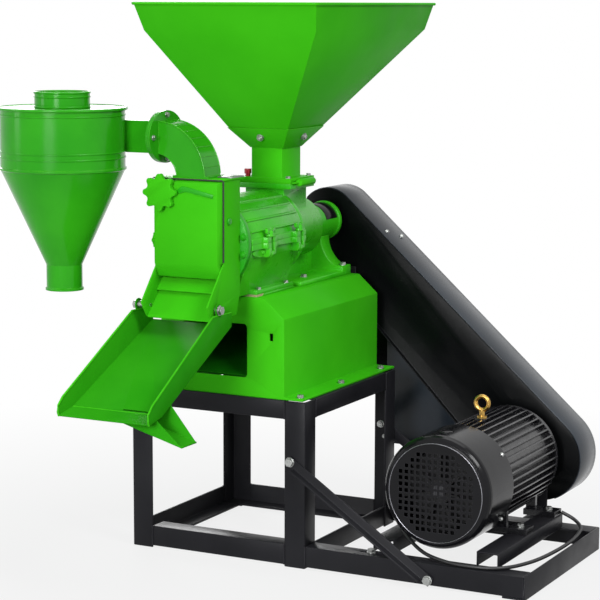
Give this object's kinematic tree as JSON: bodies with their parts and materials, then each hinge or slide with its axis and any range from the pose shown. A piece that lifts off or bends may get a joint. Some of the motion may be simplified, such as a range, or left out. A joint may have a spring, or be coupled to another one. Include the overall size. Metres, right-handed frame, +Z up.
{
  "type": "rice huller",
  "caption": "Roller rice huller on an angle-iron stand: top hopper with slide gate, belt drive from a finned motor, tilting outlet chute and husk cyclone.",
  "frame": {"origin": "middle of the machine's footprint on the floor", "axes": "+X from the mill to the motor, +Y from the rice outlet to the belt drive, +Z up"},
  "size_m": [1.114, 1.0772, 1.2],
  "materials": {
    "front_legs": "black gloss paint",
    "rear_legs": "black gloss paint",
    "top_frame": "black gloss paint",
    "base_skid": "black gloss paint",
    "motor_rails": "black gloss paint",
    "diagonal_braces": "black gloss paint",
    "frame_bolts": "zinc plated",
    "base_housing": "green gloss paint",
    "base_deflector": "shaded green paint",
    "lower_casing": "green gloss paint",
    "upper_casing": "green gloss paint",
    "feed_barrel": "green gloss paint",
    "bran_screen": "bare steel",
    "rice_knife": "bare steel",
    "casing_seal": "pressed felt",
    "discharge_head": "green gloss paint",
    "front_bearing": "ground steel",
    "rear_bearing": "ground steel",
    "bearing_housing": "green gloss paint",
    "bearing_covers": "black gloss paint",
    "pedestal": "green gloss paint",
    "drive_belts": "matt rubber",
    "guard_shell": "black gloss paint",
    "guard_plate": "black gloss paint",
    "guard_brackets": "black gloss paint",
    "outlet_box": "green gloss paint",
    "outlet_cover": "green gloss paint",
    "outlet_louvres": "green gloss paint",
    "chute_pivots": "zinc plated",
    "elbow_duct": "green gloss paint",
    "cyclone_inlet": "green gloss paint",
    "cyclone_body": "green gloss paint",
    "cyclone_lid": "green gloss paint",
    "hopper": "green gloss paint",
    "hopper_throat": "green gloss paint",
    "panel_bolts": "zinc plated",
    "motor_body": "black gloss paint",
    "motor_shields": "black gloss paint",
    "motor_stator": "laminated steel",
    "fan_cowl": "black gloss paint",
    "eyebolt": "yellow zinc",
    "terminal_box": "black gloss paint",
    "supply_cable": "black cable sheath",
    "mill_shaft": "ground steel",
    "milling_roller": "as cast",
    "feed_screw": "as cast",
    "fan_impeller": "as cast",
    "main_pulley": "black gloss paint",
    "motor_rotor": "machined steel",
    "motor_fan": "black plastic",
    "motor_pulley": "black gloss paint",
    "chute_tray": "green gloss paint",
    "broken_rice_spout": "green gloss paint",
    "slide_gate": "green gloss paint",
    "gate_knob": "red plastic",
    "star_knob": "green gloss paint",
    "damper_plate": "bare steel",
    "side_knob": "green gloss paint",
    "front_clamp": "green gloss paint",
    "rear_clamp": "green gloss paint"
  },
  "bodies": {
    "machine_frame": {"front_legs": "front_legs", "rear_legs": "rear_legs", "top_frame": "top_frame", "base_skid": "base_skid", "motor_rails": "motor_rails", "diagonal_braces": "diagonal_braces", "frame_bolts": "frame_bolts", "base_housing": "base_housing", "base_deflector": "base_deflector", "lower_casing": "lower_casing", "upper_casing": "upper_casing", "feed_barrel": "feed_barrel", "bran_screen": "bran_screen", "rice_knife": "rice_knife", "casing_seal": "casing_seal", "discharge_head": "discharge_head", "front_bearing": "front_bearing", "rear_bearing": "rear_bearing", "bearing_housing": "bearing_housing", "bearing_covers": "bearing_covers", "pedestal": "pedestal", "drive_belts": "drive_belts", "guard_shell": "guard_shell", "guard_plate": "guard_plate", "guard_brackets": "guard_brackets", "outlet_box": "outlet_box", "outlet_cover": "outlet_cover", "outlet_louvres": "outlet_louvres", "chute_pivots": "chute_pivots", "elbow_duct": "elbow_duct", "cyclone_inlet": "cyclone_inlet", "cyclone_body": "cyclone_body", "cyclone_lid": "cyclone_lid", "hopper": "hopper", "hopper_throat": "hopper_throat", "panel_bolts": "panel_bolts", "motor_body": "motor_body", "motor_shields": "motor_shields", "motor_stator": "motor_stator", "fan_cowl": "fan_cowl", "eyebolt": "eyebolt", "terminal_box": "terminal_box", "supply_cable": "supply_cable"},
    "mill_rotor": {"mill_shaft": "mill_shaft", "milling_roller": "milling_roller", "feed_screw": "feed_screw", "fan_impeller": "fan_impeller", "main_pulley": "main_pulley"},
    "motor_rotor_set": {"motor_rotor": "motor_rotor", "motor_fan": "motor_fan", "motor_pulley": "motor_pulley"},
    "chute": {"chute_tray": "chute_tray", "broken_rice_spout": "broken_rice_spout"},
    "feed_gate": {"slide_gate": "slide_gate"},
    "gate_screw": {"gate_knob": "gate_knob"},
    "outlet_screw": {"star_knob": "star_knob"},
    "outlet_damper": {"damper_plate": "damper_plate"},
    "side_screw": {"side_knob": "side_knob"},
    "front_swing_bolt": {"front_clamp": "front_clamp"},
    "rear_swing_bolt": {"rear_clamp": "rear_clamp"}
  },
  "joints": [
    {"name": "mill_spin", "type": "hinge", "parent": "machine_frame", "child": "mill_rotor", "pos_m": [-0.1505, 0, 0.696], "axis": [0, 1, 0], "continuous": true},
    {"name": "motor_spin", "type": "hinge", "parent": "machine_frame", "child": "motor_rotor_set", "pos_m": [0.3405, 0, 0.192], "axis": [0, 1, 0], "continuous": true},
    {"name": "chute_tilt", "type": "hinge", "parent": "machine_frame", "child": "chute", "pos_m": [-0.1505, -0.23, 0.573], "axis": [1, 0, 0], "range_deg": [-10, 14]},
    {"name": "gate_slide", "type": "slide", "parent": "machine_frame", "child": "feed_gate", "axis": [1, 0, 0], "range_m": [0, 0.078]},
    {"name": "gate_screw_turn", "type": "hinge", "parent": "machine_frame", "child": "gate_screw", "pos_m": [-0.2025, 0.146, 0.82], "axis": [0, 0, 1], "range_deg": [0, 180]},
    {"name": "outlet_screw_turn", "type": "hinge", "parent": "machine_frame", "child": "outlet_screw", "pos_m": [-0.2055, -0.2, 0.81], "axis": [0, 1, 0], "range_deg": [0, 1440]},
    {"name": "outlet_damper_slide", "type": "slide", "parent": "machine_frame", "child": "outlet_damper", "axis": [0, 1, 0], "range_m": [0, 0.0161]},
    {"name": "side_screw_turn", "type": "hinge", "parent": "machine_frame", "child": "side_screw", "pos_m": [-0.24, -0.17, 0.704], "axis": [1, 0, 0], "range_deg": [0, 360]},
    {"name": "front_swing", "type": "hinge", "parent": "machine_frame", "child": "front_swing_bolt", "pos_m": [-0.0465, -0.0396, 0.672], "axis": [0, 1, 0], "range_deg": [0, 100]},
    {"name": "rear_swing", "type": "hinge", "parent": "machine_frame", "child": "rear_swing_bolt", "pos_m": [-0.0465, 0.09368, 0.672], "axis": [0, 1, 0], "range_deg": [0, 100]}
  ],
  "couplings": [
    {"joint": "motor_spin", "follows": "mill_spin", "ratio": 0.88215},
    {"joint": "outlet_damper_slide", "follows": "outlet_screw_turn", "m_per_rad": 0.00063662}
  ]
}
